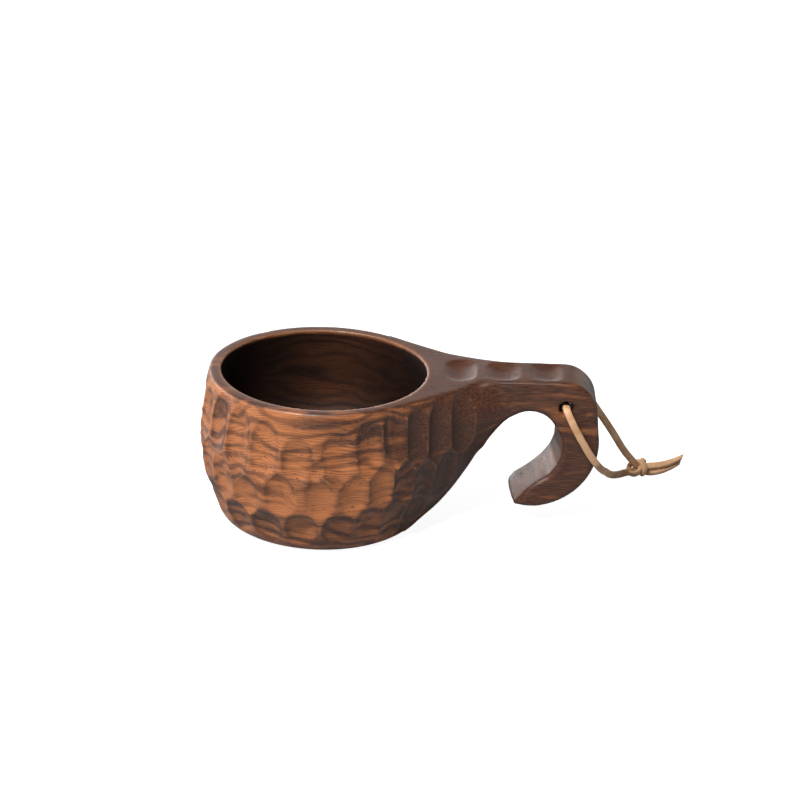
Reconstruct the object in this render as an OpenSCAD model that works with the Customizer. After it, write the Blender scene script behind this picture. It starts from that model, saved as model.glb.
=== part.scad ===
// Carved wooden drinking cup with a hooked one-finger handle and a leather
// hanging lace. Two physical pieces: the cup, carved from one block of wood,
// and one leather thong, threaded through the handle and tied to itself.
// Millimetres, +Z up. The origin is the centre of the base, on the bowl's axis,
// and the handle points along +X.

/* [Bowl] */
// Height of the rim above the table
rim_height = 61.4; // [50:0.2:75]
// Outer radius of the rim
rim_radius = 45; // [35:0.5:55]
// Width of the flat top of the rim
rim_width = 4.4; // [3:0.1:8]
// Largest outer radius of the bowl
belly_radius = 48.6; // [40:0.2:60]
// Height at which the bowl is widest
belly_height = 29.6; // [20:0.2:40]
// Radius at the foot, before the edge is eased
foot_radius = 38.2; // [25:0.2:45]
// Depth of the hollow below the rim
hollow_depth = 52; // [35:0.5:60]
// Largest radius of the hollow
hollow_radius = 42.4; // [30:0.2:50]

/* [Handle] */
// Thickness of the handle from face to face
handle_thickness = 21; // [14:0.5:30]
// Height of the handle's top above the table
handle_top = 62.6; // [55:0.2:75]
// Distance of the hook's outer edge from the bowl's axis
handle_reach = 108.9; // [90:0.1:130]
// Radius of the hook's outer curve
hook_radius = 26.9; // [20:0.1:35]
// Radius of the top outer corner
corner_radius = 14; // [8:0.5:20]
// Radius of the round finger opening
finger_radius = 11.4; // [9:0.1:15]
// Radius of the hook's blunt tip
tip_radius = 3.2; // [2:0.1:5]
// Depth of the three thumb scoops on top of the handle
scoop_depth = 1.2; // [0:0.1:2]

/* [Lace hole] */
// Distance of the hole from the bowl's axis
hole_x = 95.5; // [88:0.5:102]
// Height of the hole above the table
hole_z = 51.6; // [46:0.2:56]
// Diameter of the hole
hole_diameter = 5.8; // [4:0.1:8]

/* [Lace] */
// Diameter of the leather thong
lace_diameter = 2.8; // [2:0.1:3.4]

/* [Hidden] */
$fn = 96;
eps = 0.01;
half_handle = handle_thickness / 2;
hook_centre = [handle_reach - hook_radius, 35.5];
corner_centre = [handle_reach - 0.8 - corner_radius, handle_top - corner_radius];
finger_centre = [81.5, 39];
floor_height = rim_height - hollow_depth;
lace_radius = lace_diameter / 2;
lace_sides = 8;
steps = 3;

// Where the lace runs: out of each mouth of the hole, over the hook and back
// to the knot, which lies on the table, then out to the two bare tips.
front_route = [[95.5, 0, 51.6], [95.5, -9, 51.6], [96.2, -13, 50.6], [98.6, -14.6, 46],
               [102.2, -14.8, 39.5], [106, -14, 33], [109.4, -11.8, 27.8],
               [112, -5, 22.8], [114, 4, 18], [116, 14, 12.5], [118.5, 23.5, 7.5],
               [121.5, 30.5, 4.4], [125.5, 35, 3.4], [130.5, 38, 3.4]];
back_route = [[95.5, 0, 51.6], [95.5, 9, 51.6], [97, 13, 51.2], [101, 17, 49],
              [106.5, 21, 43], [112, 25, 34.2], [118, 29.5, 24], [123, 33, 15],
              [127, 36, 9], [130.5, 38, 5]];
upper_tail = [[130.5, 38, 5], [136, 40.5, 4.6], [141, 43.5, 4.4], [146, 48, 4.2], [151, 53.5, 4]];
lower_tail = [[130.5, 38, 3.4], [136, 40, 1.9], [140.5, 42.6, 1.6], [145, 46.4, 1.5],
              [149, 51, 1.5]];
knot_centre = [130.8, 38, 4.3];
knot_turn_radius = 2.75;

// Outer radius of the bowl at height z: a superellipse up to the belly, then a
// gentle parabola in to the rim.
function bowl_radius(z) =
    z < belly_height
    ? foot_radius + (belly_radius - foot_radius) * pow(1 - pow(1 - z / belly_height, 1.35), 1 / 1.35)
    : belly_radius - (belly_radius - rim_radius) * pow((z - belly_height) / (rim_height - belly_height), 2);

// Radius of the hollow at height z: a rounded floor, a belly, and a slightly
// narrower mouth.
belly_inside = floor_height + 27;
function hollow_at(z) =
    z < belly_inside
    ? hollow_radius * pow(1 - pow(1 - (z - floor_height) / 27, 2.3), 1 / 2.3)
    : hollow_radius - (hollow_radius - rim_radius + rim_width)
      * pow((z - belly_inside) / (rim_height - belly_inside), 2);

// Point where the tangent from p touches a circle of radius r at the origin.
function touch(p, r) =
    let (a = atan2(p[1], p[0]) + acos(r / norm(p))) [r * cos(a), r * sin(a)];

// Catmull-Rom curve through the points of a route.
function at(p, i) = p[max(0, min(len(p) - 1, i))];
function blend(a, b, c, d, t) =
    0.5 * (2 * b + (c - a) * t + (2 * a - 5 * b + 4 * c - d) * t * t
           + (3 * b - 3 * c + d - a) * t * t * t);
function smooth(p) = concat(
    [for (i = [0 : len(p) - 2], k = [0 : steps - 1])
        blend(at(p, i - 1), at(p, i), at(p, i + 1), at(p, i + 2), k / steps)],
    [p[len(p) - 1]]);

// Rings of a tube: each ring is square to the route, and its first axis is the
// last ring's, turned as little as possible.
function unit(v) = v / norm(v);
function heading(p, i) = unit(at(p, i + 1) - at(p, i - 1));
function side_axis(t, last) = unit(last - (last * t) * t);
function side_axes(p, i = 0, last = [1, 0, 0.1]) =
    i == len(p) ? [] :
    let (s = side_axis(heading(p, i), last)) concat([s], side_axes(p, i + 1, s));

module tube(route, radius) {
    p = smooth(route);
    axes = side_axes(p);
    n = lace_sides;
    rings = [for (i = [0 : len(p) - 1], k = [0 : n - 1])
        p[i] + radius * (cos(360 * k / n) * axes[i]
                         + sin(360 * k / n) * cross(heading(p, i), axes[i]))];
    last = (len(p) - 1) * n;
    sides = [for (i = [0 : len(p) - 2], k = [0 : n - 1])
        [i * n + k, i * n + (k + 1) % n, (i + 1) * n + (k + 1) % n, (i + 1) * n + k]];
    caps = [[for (k = [n - 1 : -1 : 0]) k], [for (k = [0 : n - 1]) last + k]];
    polyhedron(points = rings, faces = concat(sides, caps), convexity = 6);
}

// Side view of the handle: x runs away from the bowl, y is height.
module handle_side() {
    difference() {
        union() {
            polygon([[30, 42], [30, rim_height - 0.1], [46, rim_height - 0.1],
                     [74, handle_top], [corner_centre[0], handle_top],
                     [corner_centre[0], 42]]);
            translate(corner_centre) circle(r = corner_radius);
            translate(hook_centre) circle(r = hook_radius);
            polygon([corner_centre, [handle_reach - 0.8, corner_centre[1]],
                     [handle_reach, hook_centre[1]], hook_centre]);
        }
        translate(finger_centre) circle(r = finger_radius);
        finger_throat();
    }
    translate([78.4, 12.2]) circle(r = tip_radius);
}

// Side view of the slanting way out of the finger opening.
module finger_throat() {
    polygon([[72.9, 46.5], [66.2, 39.5], [55.8, 24.6], [46.5, 8], [40, -1],
             [75.2, -1], [75.2, 12.2], [76.3, 14.6], [83.6, 18.6], [88.6, 23.8],
             [92, 30], [92.9, 38], [82, 44]]);
}

// One level of the shoulder that carries the handle into the bowl: two sides
// touch the bowl and run straight to the keel above the finger opening.
module shoulder_level(z, keel, half_width) {
    p = touch([keel, half_width], bowl_radius(z) - 0.3);
    translate([0, 0, z]) linear_extrude(height = eps)
        polygon([[8, -p[1]], [p[0], -p[1]], [keel, -half_width],
                 [keel, half_width], [p[0], p[1]], [8, p[1]]]);
}

module shoulder() {
    hull() {
        shoulder_level(1.6, 41.4, 7);
        shoulder_level(24, 56, 9);
        shoulder_level(46, 72.4, half_handle - 0.6);
        shoulder_level(rim_height - 0.1 - eps, 57, half_handle - 0.6);
    }
}

module bowl_outside() {
    rotate_extrude()
        polygon(concat([[0, 0], [foot_radius - 2.6, 0], [foot_radius - 0.6, 0.5]],
                       [for (z = [1.6 : 2.8 : belly_height]) [bowl_radius(z), z]],
                       [for (z = [belly_height : 3.9 : rim_height - 1]) [bowl_radius(z), z]],
                       [[rim_radius, rim_height - 0.5], [rim_radius - 0.5, rim_height],
                        [0, rim_height]]));
}

module bowl_hollow() {
    n = 12;
    rotate_extrude()
        polygon(concat([[0, floor_height]],
                       [for (i = [1 : n]) let (z = floor_height + 27 * pow(i / n, 2))
                           [hollow_at(z), z]],
                       [for (i = [1 : 5]) let (z = belly_inside
                           + (rim_height - belly_inside) * i / 5) [hollow_at(z), z]],
                       [[rim_radius - rim_width, rim_height + 4], [0, rim_height + 4]]));
}

// Shallow round scoops across the handle's top, where the thumb rests.
module thumb_scoops() {
    scoop_radius = 15;
    for (x = [54.5, 70, 86.5])
        translate([x, 0, handle_top - (x < 60 ? 0.9 : 0.1) - scoop_depth + scoop_radius])
            sphere(r = scoop_radius);
}

module cup() {
    color([0.32, 0.17, 0.09])
    difference() {
        union() {
            bowl_outside();
            shoulder();
            translate([0, half_handle, 0]) rotate([90, 0, 0])
                linear_extrude(height = handle_thickness) handle_side();
        }
        bowl_hollow();
        thumb_scoops();
        translate([hole_x, half_handle + 2, hole_z]) rotate([90, 0, 0])
            cylinder(d = hole_diameter, h = handle_thickness + 4);
    }
}

module lace_front() {
    color([0.78, 0.55, 0.33]) tube(concat(front_route, [for (i = [1 : 4]) lower_tail[i]]), lace_radius);
}

module lace_back() {
    color([0.76, 0.53, 0.32]) tube(concat(back_route, [for (i = [1 : 4]) upper_tail[i]]), lace_radius);
}

// The knot: two turns of the thong drawn down on each other, lying along the lace.
module knot_turn(x, tilt, lean) {
    translate([x, 0, 0]) rotate([lean, tilt, 0])
        rotate_extrude($fn = 32) translate([knot_turn_radius, 0]) circle(r = 1.5, $fn = 16);
}

module lace_knot() {
    color([0.74, 0.50, 0.29])
    translate(knot_centre) rotate([0, 0, 24]) {
        knot_turn(-1.6, 66, 0);
        knot_turn(1.5, 108, 24);
        translate([-1, 0, 0]) sphere(r = 3.2, $fn = 32);
        translate([1.2, 0, 0]) sphere(r = 3, $fn = 32);
    }
}

cup();
lace_front();
lace_back();
lace_knot();
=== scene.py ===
# %% [markdown]
# A carved wooden drinking cup with a one-finger handle and a leather lace
# ------------------------------------------------------------------------
# The cup is carved with a gouge from one block of dark reddish-brown wood, and a
# leather thong is threaded through its handle and knotted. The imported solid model
# is the frame: it says where everything is and how big it is. This script gives
# the same two pieces their real surfaces, and then their finishes.

# %% Load the frame
import math
import bpy
import numpy as np
from mathutils import Matrix, Vector


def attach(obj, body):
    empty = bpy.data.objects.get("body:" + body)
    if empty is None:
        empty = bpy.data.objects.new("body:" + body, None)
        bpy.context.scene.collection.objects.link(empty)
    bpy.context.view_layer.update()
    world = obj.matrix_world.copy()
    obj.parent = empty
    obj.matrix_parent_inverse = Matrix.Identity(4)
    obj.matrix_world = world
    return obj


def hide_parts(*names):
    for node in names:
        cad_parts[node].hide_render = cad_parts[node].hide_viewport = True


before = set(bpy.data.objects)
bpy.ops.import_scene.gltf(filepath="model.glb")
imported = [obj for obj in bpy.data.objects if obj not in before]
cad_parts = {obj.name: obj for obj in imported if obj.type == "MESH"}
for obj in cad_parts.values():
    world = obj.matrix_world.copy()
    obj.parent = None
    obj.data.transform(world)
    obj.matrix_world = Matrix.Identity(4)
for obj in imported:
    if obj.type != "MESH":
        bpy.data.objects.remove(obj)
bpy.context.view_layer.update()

MM = 0.001
scene = bpy.context.scene

# %% [markdown]
# The camera stands 1.2 m away with a long lens and looks down by 24 degrees, so
# that the bowl's mouth shows as a flat ellipse. It is turned by two degrees
# about its own axis, which makes the whole cup lean very slightly.

# %% Camera
AZIMUTH, ELEVATION, ROLL = math.radians(-1.0), math.radians(24.1), math.radians(2.1)
back = np.array([math.sin(AZIMUTH) * math.cos(ELEVATION),
                 -math.cos(AZIMUTH) * math.cos(ELEVATION), math.sin(ELEVATION)])
right = np.cross([0, 0, 1], back)
right /= np.linalg.norm(right)
up = np.cross(back, right)
tilted_right = right * math.cos(ROLL) + up * math.sin(ROLL)
tilted_up = up * math.cos(ROLL) - right * math.sin(ROLL)
aim = np.array([30.3 * math.cos(AZIMUTH), 30.3 * math.sin(AZIMUTH), 48.9]) * MM
eye = aim + back * 1.2

camera_data = bpy.data.cameras.new("camera")
camera_data.lens = 136.6
camera_data.sensor_width = 36.0
camera_data.clip_start = 0.05
camera = bpy.data.objects.new("camera", camera_data)
scene.collection.objects.link(camera)
camera.matrix_world = Matrix([
    [tilted_right[0], tilted_up[0], back[0], eye[0]],
    [tilted_right[1], tilted_up[1], back[1], eye[1]],
    [tilted_right[2], tilted_up[2], back[2], eye[2]],
    [0, 0, 0, 1]])
scene.camera = camera
print("camera stands at", np.round(eye, 3).tolist())

# %% [markdown]
# Helpers. A mesh is built from whole numpy arrays. Every finished piece sits at
# the origin, with its place in its own points.

# %% Mesh helper
def mesh_object(name, points, faces):
    """Makes a smooth object from an N x 3 array of points in metres and a list of faces."""
    mesh = bpy.data.meshes.new(name)
    mesh.from_pydata(points.tolist(), [], faces)
    mesh.update()
    mesh.polygons.foreach_set("use_smooth", np.ones(len(mesh.polygons), dtype=bool))
    piece = bpy.data.objects.new(name, mesh)
    scene.collection.objects.link(piece)
    return piece


def point_values(piece, name, values):
    """Stores one number per point as a named attribute, for a material to read."""
    layer = piece.data.attributes.new(name, "FLOAT", "POINT")
    layer.data.foreach_set("value", np.asarray(values, dtype=np.float32))


# %% [markdown]
# The lace
# --------
# One strip of leather about 3 mm wide. Each end comes out of one mouth of the
# hole, bends down, and runs back to a knot that lies on the table.

# %% Where the lace runs
front_route = np.array([
    [95.5, 0, 51.6], [95.5, -9, 51.6], [96.2, -13, 50.6], [98.6, -14.6, 46],
    [102.2, -14.8, 39.5], [106, -14, 33], [109.4, -11.8, 27.8], [112, -5, 22.8],
    [114, 4, 18], [116, 14, 12.5], [118.5, 23.5, 7.5], [121.5, 30.5, 4.4],
    [125.5, 35, 3.4], [130.5, 38, 3.0], [136, 40, 1.5], [140.5, 42.8, 1.2],
    [145, 46.8, 1.1], [149.3, 51.6, 1.05]]) * MM
back_route = np.array([
    [95.5, 0, 51.6], [95.5, 9, 51.6], [97, 13, 51.2], [101, 17, 49], [106.5, 21, 43],
    [112, 25, 34.2], [118, 29.5, 24], [123, 33, 15], [127, 36, 9], [130.5, 38, 5],
    [136, 40.5, 4.0], [141, 43.4, 3.4], [146, 47.8, 3.2], [150.2, 52.4, 3.1]]) * MM


def smooth_curve(route, steps):
    """A Catmull-Rom curve: each stretch is the cubic whose slope at every point is half
    the step from the point before to the point after."""
    p = np.vstack([2 * route[0] - route[1], route, 2 * route[-1] - route[-2]])
    t = np.linspace(0, 1, steps, endpoint=False)[None, :, None]
    a, b, c, d = (p[i:len(p) - 3 + i, None] for i in range(4))
    curve = 0.5 * (2 * b + (c - a) * t + (2 * a - 5 * b + 4 * c - d) * t ** 2
                   + (3 * b - 3 * c + d - a) * t ** 3)
    return np.vstack([curve.reshape(-1, 3), route[-1]])


def unit(v):
    return v / np.linalg.norm(v, axis=-1, keepdims=True)


STRAP_SIDES = 20
SQUARENESS = 0.55        # 1 gives an oval section, and less squares its corners


def strap(name, path, facing, width, thickness, tip=0.0):
    """A rounded-rectangle section carried along a path. The section's point at angle a
    is (width / 2) * |cos a| ** 0.55 across and (thickness / 2) * |sin a| ** 0.55 through,
    each with its sign, and facing is the direction that the wide side looks in. A tip
    narrows the last stretch of that length and cuts its end at a slant."""
    sides = STRAP_SIDES
    along = unit(np.gradient(path, axis=0))
    across = unit(np.cross(facing, along))
    through = np.cross(along, across)
    a = np.linspace(0, 2 * math.pi, sides, endpoint=False)
    u = np.sign(np.cos(a)) * np.abs(np.cos(a)) ** SQUARENESS * width / 2
    v = np.sign(np.sin(a)) * np.abs(np.sin(a)) ** SQUARENESS * thickness / 2
    left = length_of(path) - np.append(0, np.cumsum(np.linalg.norm(np.diff(path, axis=0), axis=1)))
    near_end = np.clip(1 - left / tip, 0, 1)[:, None, None] if tip else 0.0
    across_u, through_v = u[None, :, None] * across[:, None], v[None, :, None] * through[:, None]
    rings = (path[:, None] + across_u * (1 - 0.45 * near_end) + through_v * (1 - 0.25 * near_end)
             + along[:, None] * u[None, :, None] * near_end ** 3)
    points = np.vstack([rings.reshape(-1, 3), path[:1], path[-1:]])
    n = len(path)
    i, k = np.meshgrid(np.arange(n - 1), np.arange(sides), indexing="ij")
    k2 = (k + 1) % sides
    quads = np.stack([i * sides + k, i * sides + k2, (i + 1) * sides + k2, (i + 1) * sides + k], -1)
    ring = np.arange(sides)
    start = np.stack([ring, np.full(sides, n * sides), (ring + 1) % sides], -1)
    end = np.stack([(n - 1) * sides + (ring + 1) % sides, np.full(sides, n * sides + 1),
                    (n - 1) * sides + ring], -1)
    return mesh_object(name, points, quads.reshape(-1, 4).tolist() + start.tolist() + end.tolist())


def length_of(path):
    return float(np.linalg.norm(np.diff(path, axis=0), axis=1).sum())


LACE_WIDTH, LACE_THICKNESS, TIP_LENGTH = 2.9 * MM, 2.0 * MM, 12 * MM
front_path, back_path = smooth_curve(front_route, 8), smooth_curve(back_route, 8)


def turned_flat(path, facing):
    """The wide side looks along facing as far as the knot, and turns to look up past it."""
    turn_start, turn_length = 127 * MM, 11 * MM
    past = np.clip((path[:, :1] - turn_start) / turn_length, 0, 1)
    return unit(facing * (1 - past) + np.array([0.1, -0.35, 1.0]) * past)


front_strand = strap("strand_front", front_path, turned_flat(front_path, np.array([0.1, -1, 0.25])),
                     LACE_WIDTH, LACE_THICKNESS, tip=TIP_LENGTH)
back_strand = strap("strand_back", back_path, turned_flat(back_path, np.array([0.3, -1, 0.35])),
                    LACE_WIDTH, LACE_THICKNESS, tip=TIP_LENGTH)
for strand, node, path in ((front_strand, "lace_front", front_path),
                           (back_strand, "lace_back", back_path)):
    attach(strand, "lace")
    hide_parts(node)
    print(node, "length, mm:", round(length_of(path) / MM, 1))

# %% [markdown]
# The cup
# -------
# The real cup is one block of wood: a hollowed bowl, and a handle that grows out
# of it. A set of joined meshes would show seams where one wood runs on into the
# next, so the whole cup is one surface instead. It is described by a
# height-like function, negative in the wood and positive in the air, and the
# surface is where the function is nought. Smooth unions give the soft hollows
# between handle and bowl, and the gouge cuts are taken off afterwards, as carved.

# %% Building blocks for solid shapes
def soft_max(a, b, k):
    """The larger of a and b, with the corner between them rounded over a width k."""
    h = np.clip(0.5 + 0.5 * (a - b) / k, 0, 1)
    return b + (a - b) * h + k * h * (1 - h)


def soft_min(a, b, k):
    return -soft_max(-a, -b, k)


def ramp(x, low, high):
    """0 below low, 1 above high, and a smooth S between."""
    t = np.clip((x - low) / (high - low), 0, 1)
    return t * t * (3 - 2 * t)


# %% [markdown]
# The bowl, and the shoulder that carries the handle. Sizes here are millimetres, and
# the points stay in millimetres until the cup's mesh is made.

# %% Bowl and shoulder
RIM_HEIGHT, RIM_RADIUS, RIM_WIDTH = 61.4, 45.0, 4.5
BELLY_RADIUS, BELLY_HEIGHT, FOOT_RADIUS = 49.0, 30.0, 38.2
FOOT_CURVE = 1.35        # 1 is a straight cone, 2 an ellipse
HANDLE_TOP, HALF_HANDLE = 62.6, 10.5


def bowl_radius(z):
    """Outer radius of the bowl, in mm: a superellipse from the foot up to the belly, and
    a parabola from there in to the rim."""
    t = np.clip(1 - z / BELLY_HEIGHT, 0, 1)
    low = FOOT_RADIUS + (BELLY_RADIUS - FOOT_RADIUS) * (1 - t ** FOOT_CURVE) ** (1 / FOOT_CURVE)
    s = np.clip((z - BELLY_HEIGHT) / (RIM_HEIGHT - BELLY_HEIGHT), 0, 1)
    return np.where(z < BELLY_HEIGHT, low, BELLY_RADIUS - (BELLY_RADIUS - RIM_RADIUS) * s * s)


# The keel under the handle, from foot to rim: how far out it reaches, and half its
# width, at each height.
KEEL_ROUNDING = 7.0      # how widely the sides run into it
KEEL_Z = np.array([0, 2, 8, 15, 25, 35, 40, 46, 50, 56, 61.4])
KEEL_X = np.array([40.5, 43.2, 49.0, 53.8, 59.5, 64.5, 66.8, 69.7, 71, 67.6, 62])
KEEL_WIDTH = np.array([6, 7, 8.6, 9.8, 10.8, 11.2, 11.2, 10.8, 10.5, 10.3, 10])
levels = np.linspace(0, RIM_HEIGHT, 200)
keel_half_width = np.interp(levels, KEEL_Z, KEEL_WIDTH)
keel_reach = np.interp(levels, KEEL_Z, KEEL_X)
keel_reach = np.convolve(np.pad(keel_reach, 8, mode="edge"), np.ones(17) / 17, mode="valid")
keel_corner = np.hypot(keel_reach, keel_half_width)
side_turn = (np.arctan2(keel_half_width, keel_reach)
             + np.arccos(np.minimum(bowl_radius(levels) / keel_corner, 1)))


def shoulder(x, y, z):
    """The wood between bowl and handle. At each height its two sides touch the bowl and
    run straight to the keel, so a side is x * cos(turn) + |y| * sin(turn) = bowl radius."""
    turn, reach = np.interp(z, levels, side_turn), np.interp(z, levels, keel_reach)
    side = x * np.cos(turn) + np.abs(y) * np.sin(turn) - bowl_radius(z)
    ahead = (x - reach) * 0.8
    behind = np.abs(y) * np.cos(turn) - x * np.sin(turn)
    return np.maximum(soft_max(side, ahead, KEEL_ROUNDING), behind)


# %% [markdown]
# The handle's side view is one closed outline: flat along the top, a round corner,
# the hook's big curve, a blunt tip, and the finger opening inside. Its distance
# is worked out once on a fine flat grid and looked up from there.

# %% The handle's side view
def arc(centre, radius, start, end, count):
    a = np.radians(np.linspace(start, end, count))
    return np.stack([centre[0] + radius * np.cos(a), centre[1] + radius * np.sin(a)], 1)


outline = np.vstack([
    [[28, 61.3], [50, 61.3], [62, 62.0], [74, 62.6], [84, 62.7]],
    arc((94.1, 48.6), 14.0, 90, 4, 14),
    arc((82.0, 35.5), 27.4, 10, -84, 22),
    [[81.0, 8.1], [78.0, 8.3]],
    arc((78.4, 11.5), 3.3, 250, 150, 7),
    [[77.2, 15.2], [80.6, 17.2], [84.4, 20.0], [88.0, 23.6], [90.9, 27.8], [92.4, 32.0]],
    arc((81.6, 38.3), 11.2, -14, 118, 16),
    [[73.0, 46.9], [70.4, 45.3], [68.3, 43.3], [66.2, 40.6], [62.8, 35.6], [28, 35.6]]])
GRID_STEP = 0.25
grid_x = np.arange(20, 116, GRID_STEP)
grid_z = np.arange(-2, 70, GRID_STEP)


def outline_distance(points, line):
    """Signed distance to a closed outline: the least distance to any of its straight
    stretches, negative where a ray from the point crosses the outline an odd number of times."""
    least = np.full(len(points), 1e9)
    inside = np.zeros(len(points), dtype=bool)
    for a, b in zip(line, np.roll(line, -1, axis=0)):
        to_point, stretch = points - a, b - a
        t = np.clip(to_point @ stretch / (stretch @ stretch), 0, 1)
        least = np.minimum(least, np.linalg.norm(to_point - t[:, None] * stretch, axis=1))
        crosses = (a[1] > points[:, 1]) != (b[1] > points[:, 1])
        with np.errstate(divide="ignore", invalid="ignore"):
            at_x = a[0] + (points[:, 1] - a[1]) / (b[1] - a[1]) * (b[0] - a[0])
        inside ^= crosses & (points[:, 0] < at_x)
    return np.where(inside, -least, least)


flat_grid = np.stack(np.meshgrid(grid_x, grid_z, indexing="ij"), -1)
side_field = outline_distance(flat_grid.reshape(-1, 2), outline).reshape(flat_grid.shape[:2])
print("outline of the handle:", len(outline), "points")


def side_view(x, z):
    """The outline's distance at x, z, between the four nearest points of the flat grid."""
    u = np.clip((x - grid_x[0]) / GRID_STEP, 0, len(grid_x) - 1.001)
    v = np.clip((z - grid_z[0]) / GRID_STEP, 0, len(grid_z) - 1.001)
    i, j = u.astype(int), v.astype(int)
    u, v = u - i, v - j
    return ((side_field[i, j] * (1 - u) + side_field[i + 1, j] * u) * (1 - v)
            + (side_field[i, j + 1] * (1 - u) + side_field[i + 1, j + 1] * u) * v)


# %% [markdown]
# The handle's solid, the hollow of the bowl, and bowl, shoulder and handle in one.

# %% Handle, hollow and body
def handle(x, y, z):
    """The outline carried through the handle's thickness, with every edge rounded: the
    rounding is the length of what is past both the outline and the face. The handle gets
    thinner towards the hook's tip and thicker on the far side near the bowl, the hook's
    inner face slants, and a flat cut finishes its tip."""
    edge = 1.8
    half = (HALF_HANDLE - 1.5 * ramp(86 - x, 0, 11) * ramp(26 - z, 0, 14)
            + 2.6 * ramp(78 - x, 0, 26) * ramp(z, 43, 54) * (y > 0))
    inner = ramp(22 - np.hypot(x - 82, z - 35.5), 0, 6) * ramp(44 - z, 0, 9)
    slant = (1.4 + 1.2 * ramp(x, 84, 91)) * inner * (10.5 - y) / 21
    a, b = side_view(x, z) + slant + edge, np.abs(y) - half + edge
    plain = np.minimum(np.maximum(a, b), 0) + np.hypot(np.maximum(a, 0), np.maximum(b, 0)) - edge
    tip_cut = -0.79 * (x - 84.4) - 0.23 * (y + 10.5) + 0.568 * (z - 18.8) - 40 * ramp(z, 21, 30)
    return soft_max(plain, tip_cut, 1.4)


HOLLOW_FLOOR, HOLLOW_BELLY, HOLLOW_RADIUS = 9.4, 36.4, 42.2


def hollow(rho, z):
    """The bowl's inside: a rounded floor, which is a superellipse of power 2.4, a belly,
    and a slightly narrower mouth."""
    deep = HOLLOW_BELLY - HOLLOW_FLOOR
    down = np.clip((HOLLOW_BELLY - z) / deep, 0, 2)
    low = ((rho / HOLLOW_RADIUS) ** 2.4 + down ** 2.4) ** (1 / 2.4) - 1
    s = np.clip((z - HOLLOW_BELLY) / (RIM_HEIGHT - HOLLOW_BELLY), 0, 1.3)
    narrowing = HOLLOW_RADIUS - RIM_RADIUS + RIM_WIDTH
    return np.where(z < HOLLOW_BELLY, low * deep, rho - (HOLLOW_RADIUS - narrowing * s * s))


ROUND_Y = 1.012          # the mouth is a trifle narrower from front to back


def body(x, y, z):
    """Bowl, shoulder and handle in one, still without any cut: smooth unions, which round
    the corner between the handle and the bowl more on the far side than on the near one."""
    rho = np.hypot(x, y * ROUND_Y)
    zc = np.clip(z, 0, RIM_HEIGHT)
    bowl = rho - bowl_radius(zc)
    round_corner = 7.0 + 3 * ramp(y, -8, 8)
    whole = soft_min(soft_min(bowl, shoulder(x, y, zc), 1.6), handle(x, y, z), round_corner)
    return soft_max(whole, -z, 2.4)



# %% [markdown]
# The gouge leaves an oval hollow with every stroke. Each stroke is a shallow bowl,
# deepest at its middle, and where two meet they leave a ridge. Rows of strokes go
# round the cup, each row set roughly half a stroke along from the one below.

# %% Where the gouge went
rng = np.random.default_rng(7)

# The strokes that show from the front, each as its angle in degrees from the front
# towards the handle, height, half width, half height in mm, and tone, from darker (-1)
# to lighter (1): partly the way the stroke cut the fibres, partly painted light and shade for the way it
# faces the lamp.
front_strokes = [
    (-73, 46, 6.4, 12, -0.2), (-58, 47, 5.8, 13, -0.9), (-43, 43, 6.4, 17, -0.1),
    (-27.5, 44.5, 6.6, 13, 0.2), (-11, 42, 6.6, 10.5, 0.0), (8.5, 43, 7.4, 12, 0.5),
    (24, 46.5, 6.4, 13, 0.2), (37.5, 48, 6.2, 13, -0.2), (49.4, 46, 6.2, 14, -0.8),
    (59.9, 45, 6.2, 14, -0.5), (69.5, 47.5, 6.4, 13, -0.7), (-67, 31, 6.4, 10.5, 0.1),
    (-53, 27, 6.4, 11, 0.5), (-37.5, 23.5, 6.8, 10, 0.5), (-19, 27, 6.8, 10, 0.3),
    (0, 27, 6.0, 10, 0.9), (16, 28.5, 6.4, 9.5, 0.8), (30, 30.5, 6.2, 11, 0.4),
    (43, 29, 6.4, 11, -0.4), (55, 27, 6.4, 11, -0.2), (66, 27, 5.6, 12, -0.5),
    (-2, 38, 4.0, 5, 0.4), (-64, 13.5, 6.4, 8.6, -0.9), (-46, 10.5, 6.8, 8.4, -0.6),
    (-28, 10.5, 7.2, 8.4, -0.7), (-9, 11.5, 7.0, 8.4, -0.2), (10, 12, 6.8, 8.2, -0.8),
    (26, 13, 6.6, 8.6, -0.4), (40, 12.5, 6.6, 9, -0.5), (54, 13, 6.4, 9.4, -0.4)]


def row_behind(height, start, end, count, half_width, half_height):
    """Evenly spaced strokes round the back, each a little out of place."""
    angles = np.linspace(start, end, count) + rng.uniform(-1.8, 1.8, count)
    return np.stack([angles, height + rng.uniform(-1.6, 1.6, count),
                     half_width * rng.uniform(0.93, 1.1, count),
                     half_height * rng.uniform(0.93, 1.08, count), rng.uniform(-0.8, 0.6, count)], 1)


strokes = np.vstack([
    front_strokes, row_behind(46.5, 108, 272, 12, 6.7, 13), row_behind(28.5, 114, 279, 12, 6.8, 10.5),
    row_behind(11.5, 122, 281, 11, 7.0, 9.5)])
strokes = np.column_stack([np.radians(strokes[:, 0]), strokes[:, 1:], rng.uniform(1.8, 2.3, len(strokes))])


# %% [markdown]
# Every stroke is set on the uncut body. A line in from outside finds its middle, and
# the body's slope there says which way the stroke faces.

# %% Strokes on the surface
def find_surface(angle, height):
    """Goes in along the ray at one angle and height until it meets the uncut body."""
    d = np.stack([np.sin(angle), -np.cos(angle)], 1)
    near, far = np.full(len(angle), 30.0), np.full(len(angle), 75.0)
    for _ in range(30):
        middle = (near + far) / 2
        outside = body(middle * d[:, 0], middle * d[:, 1], height) > 0
        near, far = np.where(outside, near, middle), np.where(outside, middle, far)
    return np.stack([near * d[:, 0], near * d[:, 1], height], 1)


def slope(function, p, step=0.05):
    """The direction in which a function grows fastest, from small steps each way."""
    parts = []
    for axis in np.eye(3) * step:
        q, r = p + axis, p - axis
        parts.append(function(*q.T) - function(*r.T))
    return np.stack(parts, 1) / (2 * step)


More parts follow.
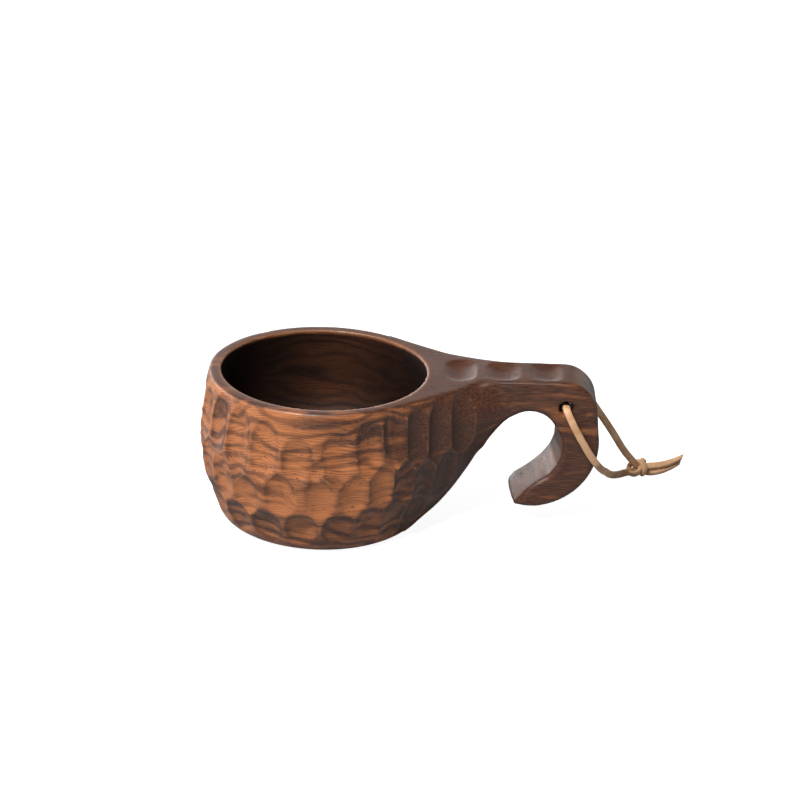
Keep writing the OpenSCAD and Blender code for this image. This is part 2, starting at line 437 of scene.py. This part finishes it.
stroke_middle = find_surface(strokes[:, 0], strokes[:, 1])
stroke_out = unit(slope(body, stroke_middle))
stroke_across = unit(np.cross([0, 0, 1], stroke_out))
stroke_up = np.cross(stroke_out, stroke_across)
stroke_wide, stroke_tall, stroke_tone, stroke_depth = strokes[:, 2:6].T


def gouged(p):
    """How deep the gouge went at each point, which stroke it was, and how much deeper that
    stroke is than the next one, which is nought on a ridge. A stroke's depth is its middle
    depth times 1 - |across / half width|^2 - |up / half height|^2.3."""
    best, second = np.zeros(len(p)), np.zeros(len(p))
    which = np.full(len(p), -1)
    keep = 1 - ramp(p[:, 0], 56, 65)       # the carver left the shoulder's edge whole
    for i in range(len(stroke_middle)):
        q = p - stroke_middle[i]
        near = np.abs(q @ stroke_out[i]) < 6
        u, v = q @ stroke_across[i] / stroke_wide[i], q @ stroke_up[i] / stroke_tall[i]
        d = np.where(near, stroke_depth[i] * keep * (1 - u * u - np.abs(v) ** 2.3), 0)
        better = d > best
        second = np.where(better, best, np.maximum(second, d))
        which = np.where(better, i, which)
        best = np.maximum(best, d)
    return best, which, best - second


print("gouge strokes:", len(strokes))

# %% [markdown]
# Three thumb scoops lie across the handle's top. Last come the cuts that finish the
# cup: the flat top of the rim, the hollow, and the lace's hole.

# %% The finished cup as a function
# Each scoop: x and y of its middle, half width, half length, and depth.
THUMB = [(54.0, 2.2, 6.4, 10.5, 1.5), (71.0, 0.6, 6.8, 9.2, 1.5), (88.0, 0.8, 6.4, 9.2, 1.4)]
HOLE_X, HOLE_Z, HOLE_RADIUS = 95.5, 51.6, 2.85


def scooped(x, y):
    """A scoop's depth: its middle depth times 1 - |along / half width|^2 - |across / half length|^4."""
    cut = np.zeros_like(x)
    for cx, cy, wide, long, depth in THUMB:
        cut = np.maximum(cut, depth * (1 - ((x - cx) / wide) ** 2 - ((y - cy) / long) ** 4))
    return cut


def top_height(x, y):
    """The top's height: the rim's, rising a little to the handle and falling a little from
    front to back, less the scoops."""
    top = RIM_HEIGHT + (HANDLE_TOP - RIM_HEIGHT) * ramp(x, 47, 76) - 0.8 * ramp(y, -12, 46)
    return top - scooped(x, y)


def cup(x, y, z):
    """The body less every cut: the gouge's strokes, the top, the hollow and the hole. The
    strokes are looked up only within 3 mm of the body's surface."""
    f = body(x, y, z)
    near = np.flatnonzero(np.abs(f) < 3)
    flat = f.ravel()
    p = np.stack([x.ravel()[near], y.ravel()[near], z.ravel()[near]], 1)
    flat[near] += gouged(p)[0]
    f = flat.reshape(f.shape)
    top = z - top_height(x, y)
    inside = hollow(np.hypot(x, y * ROUND_Y), z)
    hole = np.hypot(x - HOLE_X, z - HOLE_Z) - HOLE_RADIUS
    for cut, rounding in ((top, 0.8), (-inside, 0.5), (-hole, 0.9)):
        f = soft_max(f, cut, rounding)
    return f


# %% [markdown]
# To turn the function into a mesh, the space is cut into small cubes. Each cube
# that the surface passes through gets one point, at the middle of where its edges
# cross nought, and four cubes round a crossed edge make one face. Afterwards
# every point is moved along the slope until it lies on the surface itself.

# %% A mesh from a function
def surface_net(function, low, high, step):
    """Points and four-sided faces of the surface between two corners of space."""
    axes = [np.arange(a, b + step, step) for a, b in zip(low, high)]
    x, y, z = np.meshgrid(*axes, indexing="ij")
    f = function(x, y, z)
    wood = f < 0
    corners = [(i, j, k) for i in (0, 1) for j in (0, 1) for k in (0, 1)]
    n = np.array(f.shape) - 1
    part = lambda a, c: a[c[0]:c[0] + n[0], c[1]:c[1] + n[1], c[2]:c[2] + n[2]]
    filled = sum(part(wood, c).astype(np.int8) for c in corners)
    cells = np.argwhere((filled > 0) & (filled < 8))
    number = np.full(n, -1)
    number[tuple(cells.T)] = np.arange(len(cells))
    total, count = np.zeros((len(cells), 3)), np.zeros(len(cells))
    for axis in range(3):
        for c in corners:
            if c[axis]:
                continue
            d = list(c)
            d[axis] = 1
            a, b = f[tuple((cells + c).T)], f[tuple((cells + d).T)]
            crossed = (a < 0) != (b < 0)
            t = np.where(crossed, a / np.where(crossed, a - b, 1), 0)
            q = cells + np.array(c, float)
            q[:, axis] += t
            total += q * crossed[:, None]
            count += crossed
    points = total / count[:, None] * step + np.array([a[0] for a in axes])
    faces = []
    for axis in range(3):
        u, v = (axis + 1) % 3, (axis + 2) % 3
        lower = [slice(1, m) for m in n]
        upper = list(lower)
        lower[axis], upper[axis] = slice(0, n[axis]), slice(1, n[axis] + 1)
        a, b = wood[tuple(lower)], wood[tuple(upper)]
        for turned in (False, True):
            hits = np.argwhere((a & ~b) if not turned else (~a & b))
            base = hits + [0 if k == axis else 1 for k in range(3)]
            ring = []
            for du, dv in ((0, 0), (-1, 0), (-1, -1), (0, -1)):
                q = base.copy()
                q[:, u] += du
                q[:, v] += dv
                ring.append(number[tuple(q.T)])
            quad = np.stack(ring, 1)
            faces.append(quad[:, ::-1] if turned else quad)
    return points, np.vstack(faces)


def settle(function, p, rounds):
    """Moves each point along the slope by value / slope^2, which lands it on nought."""
    for _ in range(rounds):
        g = slope(function, p)
        g2 = np.maximum((g * g).sum(1), 0.2)
        move = function(*p.T)[:, None] * g / g2[:, None]
        p = p - np.clip(move, -0.5, 0.5)
    return p


# %% [markdown]
# A few of them hold two sheets of the surface but get only one point, which leaves an
# edge with four faces.

# %% The cup's points and faces
STEP = 0.84
points, faces = surface_net(cup, (-50.5, -50.5, -2), (111, 50.5, 65), STEP)
points = settle(cup, points, 2)
sides = np.sort(np.vstack([faces[:, [k, (k + 1) % 4]] for k in range(4)]), axis=1)
shared = np.unique(sides, axis=0, return_counts=True)[1]
print("cup:", len(points), "points,", len(faces), "faces;",
      int((shared != 2).sum()), "edges are shared by more or fewer than two faces")

# %% [markdown]
# The mesh carries three numbers per point that the wood's finish reads: how near a
# ridge or an edge the point is, where a highlight is painted; a tone for the stroke it
# lies in, with painted shade at each stroke's upper end and flanks and on the top faces;
# and whether it is on the bowl's inside, where shade is painted nearly black, a little
# less on the far wall, where a reflection is painted.

# %% The cup's object
cup_piece = mesh_object("cup_wood", points * MM, faces.tolist())
x, y, z = points.T
depth, which, apart = gouged(points)
from_hollow = hollow(np.hypot(x, y * ROUND_Y), z)
on_bowl = (x < 62) & (z > 1.0) & (z < RIM_HEIGHT - 3.5)
carved = (from_hollow > 1.0) & on_bowl
# painted highlight: ridges between strokes and the rim's edges (lip) are made lighter in colour
ridge = np.where(carved, np.exp(-(apart / 0.14) ** 2) * np.clip(depth / 0.2, 0, 1), 0)
lip = np.exp(-(from_hollow / 0.9) ** 2 - ((z - top_height(x, y)) / 0.9) ** 2)
from_middle = points - stroke_middle[which]
upwards = (from_middle * stroke_up[which]).sum(1) / stroke_tall[which]
stroke_top_shade = ramp(upwards, 0.15, 0.75)          # painted shade at the stroke's upper end, where its wall faces down
sideways = np.abs((from_middle * stroke_across[which]).sum(1)) / stroke_wide[which]
stroke_flank_shade = ramp(sideways, 0.45, 0.9)          # painted shade on the stroke's steep side walls
# each stroke's tone, less painted shade at its upper end and its flanks
tones_and_painted_shade = (stroke_tone[which] - 0.6 * stroke_top_shade - 0.75 * stroke_flank_shade) * np.clip(depth / 0.25, 0, 1) * carved
# painted shade: the top faces of rim and handle are made darker, more at the back and in the thumb scoops
top_face_shade = ramp(z - top_height(x, y), -0.8, -0.2) * (z > 55)
in_scoop = np.clip(scooped(x, y) / 0.3, 0, 1)
tones_and_painted_shade -= top_face_shade * (1.7 - 0.4 * ramp(x, 40, 60) + 0.7 * ramp(y, -10, 40) + 0.8 * in_scoop)
point_values(cup_piece, "ridge", np.maximum(ridge, lip))
point_values(cup_piece, "tone", tones_and_painted_shade)
# painted shade: the bowl's inside is made nearly black, and a painted reflection leaves its far wall a
# little paler
inside = ramp(-from_hollow, -0.9, -0.4) * ramp(top_height(x, y) - z, 0.1, 1.8) * (x < 43)
far_wall_painted_reflection = 1 - 0.11 * np.exp(-((x - 4) / 17) ** 2) * (y > -5)
point_values(cup_piece, "inside", inside * far_wall_painted_reflection)
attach(cup_piece, "cup")
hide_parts("cup")

# %% [markdown]
# Materials
# ---------
# A small helper writes a node and its settings on one line. The wood's figure is a
# node group, which gives out only values, and the materials turn them into colours.

# %% Node helpers
def add(tree, kind, links=(), **settings):
    """Makes a node with its settings. links joins (input, output socket) pairs."""
    made = tree.nodes.new(kind)
    for key, value in settings.items():
        setattr(made, key, value)
    for socket, source in links:
        tree.links.new(source, made.inputs[socket])
    return made


def maths(tree, operation, a, b=None):
    made = add(tree, "ShaderNodeMath", operation=operation)
    for i, value in enumerate((a, b)):
        if value is None:
            continue
        if isinstance(value, (int, float)):
            made.inputs[i].default_value = value
        else:
            tree.links.new(value, made.inputs[i])
    return made.outputs[0]


def mix_colour(tree, factor, a, b):
    made = add(tree, "ShaderNodeMix", data_type="RGBA")
    for socket, value in ((0, factor), (6, a), (7, b)):
        if isinstance(value, (int, float)):
            made.inputs[socket].default_value = value
        elif isinstance(value, tuple):
            made.inputs[socket].default_value = (*value, 1.0)
        else:
            tree.links.new(value, made.inputs[socket])
    return made.outputs[2]


def stretch(tree, vector, scale, offset=(0, 0, 0)):
    """Object coordinates are metres, so a scale of 1000 counts in millimetres."""
    made = add(tree, "ShaderNodeMapping")
    made.inputs["Scale"].default_value = scale
    made.inputs["Location"].default_value = offset
    tree.links.new(vector, made.inputs["Vector"])
    return made.outputs[0]


def noise(tree, vector, detail=3.0, rough=0.5, distort=0.0):
    made = add(tree, "ShaderNodeTexNoise")
    for name, value in (("Scale", 1.0), ("Detail", detail), ("Roughness", rough), ("Distortion", distort)):
        made.inputs[name].default_value = value
    tree.links.new(vector, made.inputs["Vector"])
    return made.outputs["Fac"]


def span(tree, value, low, high, to_low=0.0, to_high=1.0, smooth=True):
    made = add(tree, "ShaderNodeMapRange", interpolation_type="SMOOTHSTEP" if smooth else "LINEAR")
    for i, setting in enumerate((low, high, to_low, to_high)):
        made.inputs[i + 1].default_value = setting
    tree.links.new(value, made.inputs[0])
    return made.outputs[0]


def new_group(name, inputs, outputs):
    group = bpy.data.node_groups.new(name, "ShaderNodeTree")
    for label, kind, value in inputs:
        socket = group.interface.new_socket(label, in_out="INPUT", socket_type=kind)
        if value is not None:
            socket.default_value = value
    for label, kind in outputs:
        group.interface.new_socket(label, in_out="OUTPUT", socket_type=kind)
    return group, group.nodes.new("NodeGroupInput"), group.nodes.new("NodeGroupOutput")


def new_material(name):
    material = bpy.data.materials.new(name)
    material.use_nodes = True
    tree = material.node_tree
    shader = tree.nodes["Principled BSDF"]
    return material, tree, shader


# %% [markdown]
# The wood. Its grain runs along the handle. Five things make it up: growth layers,
# nearly level sheets about a millimetre apart that the gouge cuts into curved lines;
# broader dark bands about five millimetres apart, where the tree grew slowly;
# pores, short dark dashes along the grain; a fine pale fibre; and broad streaks where
# the wood runs from orange-brown to nearly black. All are worked out in the solid, from
# the place in the block, so they run on over edges as real wood does.

# %% Wood figure, a node group
wood_figure, wi, wo = new_group("wood figure", [
    ("Vector", "NodeSocketVector", None), ("Layer", "NodeSocketFloat", 1.1),
    ("Wander", "NodeSocketFloat", 3.0)], [
    ("Layers", "NodeSocketFloat"), ("Pores", "NodeSocketFloat"), ("Streaks", "NodeSocketFloat"),
    ("Fibre", "NodeSocketFloat"), ("Knot", "NodeSocketFloat"), ("Bands", "NodeSocketFloat")])
t = wood_figure
place = wi.outputs["Vector"]
wander = noise(t, stretch(t, place, (14, 45, 45)), detail=3.0, rough=0.55)
shift = maths(t, "MULTIPLY", maths(t, "SUBTRACT", wander, 0.5), wi.outputs["Wander"])
xyz = add(t, "ShaderNodeSeparateXYZ", [(0, place)])
# a small branch once ran across the handle beside the lace's hole: the layers flow round it
branch_x = maths(t, "DIVIDE", maths(t, "SUBTRACT", xyz.outputs[0], 0.1000), 0.0029)
branch_z = maths(t, "DIVIDE", maths(t, "SUBTRACT", xyz.outputs[2], 0.0501), 0.0022)
from_branch = maths(t, "ADD", maths(t, "MULTIPLY", branch_x, branch_x),
                    maths(t, "MULTIPLY", branch_z, branch_z))
uneven = noise(t, stretch(t, place, (320, 100, 420), (4, 7, 3)), detail=2.0)
from_branch = maths(t, "MULTIPLY", from_branch, span(t, uneven, 0.3, 0.7, 0.5, 1.7, smooth=False))
branch = maths(t, "EXPONENT", maths(t, "MULTIPLY", from_branch, -0.55))
halo = maths(t, "MULTIPLY", span(t, from_branch, 1.4, 2.6), span(t, from_branch, 2.8, 5.2, 1.0, 0.0))
level = maths(t, "ADD", maths(t, "MULTIPLY", xyz.outputs[2], 1000.0),
              maths(t, "MULTIPLY", xyz.outputs[1], 150.0))
level = maths(t, "ADD", level, maths(t, "MULTIPLY", branch, 3.6))
sheet = maths(t, "DIVIDE", maths(t, "ADD", level, maths(t, "MULTIPLY", shift, 3.0)), wi.outputs["Layer"])
fine = maths(t, "POWER", maths(t, "ABSOLUTE", maths(t, "SINE", maths(t, "MULTIPLY", sheet, math.pi))), 2.5)
bent = noise(t, stretch(t, place, (22, 60, 60), (6, 3, 2)), detail=2.0)
years = maths(t, "ADD", maths(t, "DIVIDE", level, 5.2), maths(t, "MULTIPLY", bent, 5.0))
bands = maths(t, "POWER", maths(t, "ABSOLUTE", maths(t, "SINE", maths(t, "MULTIPLY", years, math.pi))), 3.0)
broken = noise(t, stretch(t, place, (60, 260, 900), (3, 1, 7)), detail=4.0, rough=0.6)
layers = maths(t, "MULTIPLY", fine, span(t, broken, 0.28, 0.60))
pore_noise = noise(t, stretch(t, place, (230, 2300, 2300), (5, 2, 9)), detail=1.0, rough=0.5)
patchy = noise(t, stretch(t, place, (35, 120, 120), (11, 4, 1)), detail=2.0)
pores = maths(t, "MULTIPLY", span(t, pore_noise, 0.60, 0.68), span(t, patchy, 0.38, 0.62))
streak = noise(t, stretch(t, place, (14, 48, 85), (2, 8, 5)), detail=4.0, rough=0.6, distort=0.6)
fibre = noise(t, stretch(t, place, (160, 2100, 2100), (1, 6, 2)), detail=3.0, rough=0.6)
mark = maths(t, "SUBTRACT", branch, maths(t, "MULTIPLY", halo, 0.25))
for label, value in (("Layers", layers), ("Pores", pores), ("Streaks", streak), ("Fibre", fibre),
                     ("Knot", mark), ("Bands", bands)):
    t.links.new(value, wo.inputs[label])
print("wood figure:", len(t.nodes), "nodes")

# %% [markdown]
# The finish on the wood is oil: satin, so it shows grey where it mirrors a bright sky.
# Ridges and the rim's edges get a painted highlight. The bowl's inside is painted nearly black
# as shade and is less glossy, and the top of the rim and handle is painted darker than the sides, as shade.

# %% Oiled wood
wood, t, shader = new_material("oiled dark wood")
coords = add(t, "ShaderNodeTexCoord").outputs["Object"]
figure = add(t, "ShaderNodeGroup", node_tree=wood_figure)
t.links.new(coords, figure.inputs["Vector"])
figure.inputs["Layer"].default_value = 0.95
figure.inputs["Wander"].default_value = 4.5
place = add(t, "ShaderNodeSeparateXYZ", [(0, coords)])
ridge_at = add(t, "ShaderNodeAttribute", attribute_name="ridge").outputs["Fac"]
tone_at = add(t, "ShaderNodeAttribute", attribute_name="tone").outputs["Fac"]
inside_at = add(t, "ShaderNodeAttribute", attribute_name="inside").outputs["Fac"]

# how light the wood is before its grain and pores: it falls from the bowl to the handle
broad = maths(t, "ADD", figure.outputs["Streaks"], span(t, place.outputs[0], 0.012, 0.064, 0.0, -0.29))
# the stroke tones also carry painted shade from the cup's mesh
broad = maths(t, "ADD", broad, maths(t, "MULTIPLY", tone_at, 0.15))
broad = maths(t, "SUBTRACT", broad, maths(t, "MULTIPLY", figure.outputs["Knot"], 0.45))
broad = maths(t, "ADD", broad, span(t, figure.outputs["Bands"], 0.0, 0.9, 0.07, -0.10))
light = mix_colour(t, span(t, broad, 0.22, 0.66), (0.035, 0.0103, 0.0066), (0.43, 0.146, 0.047))
layered = mix_colour(t, maths(t, "MULTIPLY", figure.outputs["Layers"], 0.62), light, (0.050, 0.018, 0.010))
fibred = mix_colour(t, span(t, figure.outputs["Fibre"], 0.35, 0.7, 0.0, 0.20), layered, (0.36, 0.15, 0.060))
pored = mix_colour(t, maths(t, "MULTIPLY", figure.outputs["Pores"], 0.8), fibred, (0.020, 0.009, 0.006))
# painted highlight on ridges and the rim's edges
painted_ridge_highlight = mix_colour(t, maths(t, "MULTIPLY", ridge_at, 0.45), pored, (0.42, 0.19, 0.085))
# painted shade inside the bowl, nearly black
painted_inside_shade = mix_colour(t, maths(t, "MULTIPLY", inside_at, 0.98), painted_ridge_highlight, (0.007, 0.003, 0.0027))
t.links.new(painted_inside_shade, shader.inputs["Base Color"])
rough = maths(t, "ADD", span(t, figure.outputs["Fibre"], 0.3, 0.7, 0.38, 0.52, smooth=False),
              maths(t, "MULTIPLY", figure.outputs["Pores"], 0.2))
rough = maths(t, "ADD", rough, maths(t, "MULTIPLY", inside_at, 0.12))
t.links.new(span(t, inside_at, 0.0, 1.0, 0.5, 0.2), shader.inputs["Specular IOR Level"])
t.links.new(rough, shader.inputs["Roughness"])
height = maths(t, "SUBTRACT", maths(t, "MULTIPLY", figure.outputs["Fibre"], 0.5),
               maths(t, "MULTIPLY", figure.outputs["Pores"], 0.8))
bump = add(t, "ShaderNodeBump")
bump.inputs["Strength"].default_value = 0.35
bump.inputs["Distance"].default_value = 0.00025
t.links.new(height, bump.inputs["Height"])
t.links.new(bump.outputs[0], shader.inputs["Normal"])
shader.inputs["IOR"].default_value = 1.47
cup_piece.data.materials.append(wood)
print("oiled wood:", len(t.nodes), "nodes")

# %% [markdown]
# The leather is vegetable-tanned and undyed: pale tan and matt, with soft mottling and
# a fine grain.

# %% Leather
leather, t, shader = new_material("natural leather")
coords = add(t, "ShaderNodeTexCoord").outputs["Object"]
mottle = noise(t, stretch(t, coords, (220, 220, 220)), detail=3.0)
grain = noise(t, stretch(t, coords, (2600, 2600, 2600)), detail=4.0, rough=0.6)
base = mix_colour(t, span(t, mottle, 0.3, 0.7), (0.46, 0.255, 0.13), (0.61, 0.37, 0.205))
base = mix_colour(t, span(t, grain, 0.35, 0.65, 0.0, 0.25), base, (0.38, 0.19, 0.075))
t.links.new(base, shader.inputs["Base Color"])
shader.inputs["Roughness"].default_value = 0.62
bump = add(t, "ShaderNodeBump")
bump.inputs["Strength"].default_value = 0.3
bump.inputs["Distance"].default_value = 0.0002
t.links.new(grain, bump.inputs["Height"])
t.links.new(bump.outputs[0], shader.inputs["Normal"])
print("leather:", len(t.nodes), "nodes")

# %% [markdown]
# The knot is made to look like an overhand knot in both strands together: the thong
# turns once and a third round the two strands, and a small loop of it lies on the
# side towards the cup.

# %% Knot
KNOT_MIDDLE = np.array([130.8, 38, 4.3]) * MM
lace_way = unit(np.array([0.92, 0.38, -0.02]))
lace_side = unit(np.cross([0, 0, 1], lace_way))
lace_over = np.cross(lace_way, lace_side)


def about_knot(a, b, c):
    """Points given along, beside and above the knot's middle, in mm."""
    return KNOT_MIDDLE + (np.outer(a, lace_way) + np.outer(b, lace_side) + np.outer(c, lace_over)) * MM


turn = np.linspace(math.radians(-60), math.radians(420), 60)
wrap_path = about_knot(np.linspace(-0.4, 2.6, 60), 2.7 * np.cos(turn), 2.7 * np.sin(turn))
turn = np.linspace(math.radians(20), math.radians(340), 50)
lobe_path = about_knot(-2.4 + 2.5 * np.cos(turn), -0.4 + 2.5 * np.sin(turn), 0.2 + 1.5 * np.sin(turn + 0.8))
lobe_middle = about_knot([-2.4], [-0.4], [0.0])
wrap = strap("knot_wrap", wrap_path, wrap_path - KNOT_MIDDLE, 2.7 * MM, 1.7 * MM)
lobe = strap("knot_lobe", lobe_path, lobe_path - lobe_middle, 2.6 * MM, 1.7 * MM)
for piece in (wrap, lobe):
    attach(piece, "lace")
    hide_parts("lace_knot")
for piece in (front_strand, back_strand, wrap, lobe):
    piece.data.materials.append(leather)

# %% [markdown]
# Floor and light
# ---------------
# The cup stands on a pale table, lit as for a catalogue picture. The table and the sky
# are made nearly white to the camera alone, so shadows on the table are faint, and
# the table throws little light back on the cup. One soft lamp stands high at the
# front left. As light on the cup, the sky is bright low down, behind and at the left,
# and dim overhead and in front: that lays a grey sheen on the faces that turn away.

# %% Floor and lights
bpy.ops.mesh.primitive_plane_add(size=12)
floor = bpy.context.object
floor.name = "floor"
pale, t, shader = new_material("pale floor")
shader.inputs["Base Color"].default_value = (0.34, 0.34, 0.345, 1)
shader.inputs["Roughness"].default_value = 0.9
shader.inputs["Specular IOR Level"].default_value = 0.1
shader.inputs["Emission Color"].default_value = (1, 1, 1, 1)
seen = add(t, "ShaderNodeLightPath").outputs["Is Camera Ray"]
t.links.new(maths(t, "MULTIPLY", seen, 0.93), shader.inputs["Emission Strength"])
floor.data.materials.append(pale)

world = bpy.data.worlds.new("studio")
world.use_nodes = True
t = world.node_tree
direction = add(t, "ShaderNodeSeparateXYZ", [(0, add(t, "ShaderNodeTexCoord").outputs["Generated"])])
height_glow = span(t, direction.outputs[2], 0.05, 0.44, 4.4, 0.16)
side_glow = span(t, direction.outputs[1], -0.45, 0.20, 0.03, 1.0)
left_glow = span(t, direction.outputs[0], -0.5, 0.15, 1.7, 0.35)
glow = maths(t, "MULTIPLY", maths(t, "MULTIPLY", height_glow, side_glow), left_glow)
seen = add(t, "ShaderNodeLightPath").outputs["Is Camera Ray"]
sky = t.nodes["Background"]
sky.inputs[0].default_value = (1, 1, 1, 1)
t.links.new(maths(t, "MAXIMUM", glow, seen), sky.inputs[1])
scene.world = world


def lamp(name, place, target, size, power):
    """A square soft lamp at a place, turned towards a target."""
    data = bpy.data.lights.new(name, "AREA")
    data.shape, data.size, data.energy = "SQUARE", size, power
    made = bpy.data.objects.new(name, data)
    scene.collection.objects.link(made)
    made.location = place
    made.rotation_euler = (Vector(target) - Vector(place)).to_track_quat("-Z", "Y").to_euler()
    return made


lamp("window", (-0.36, -0.62, 1.02), (0.02, 0, 0.03), 0.36, 26.5)
scene.view_settings.view_transform = "Standard"
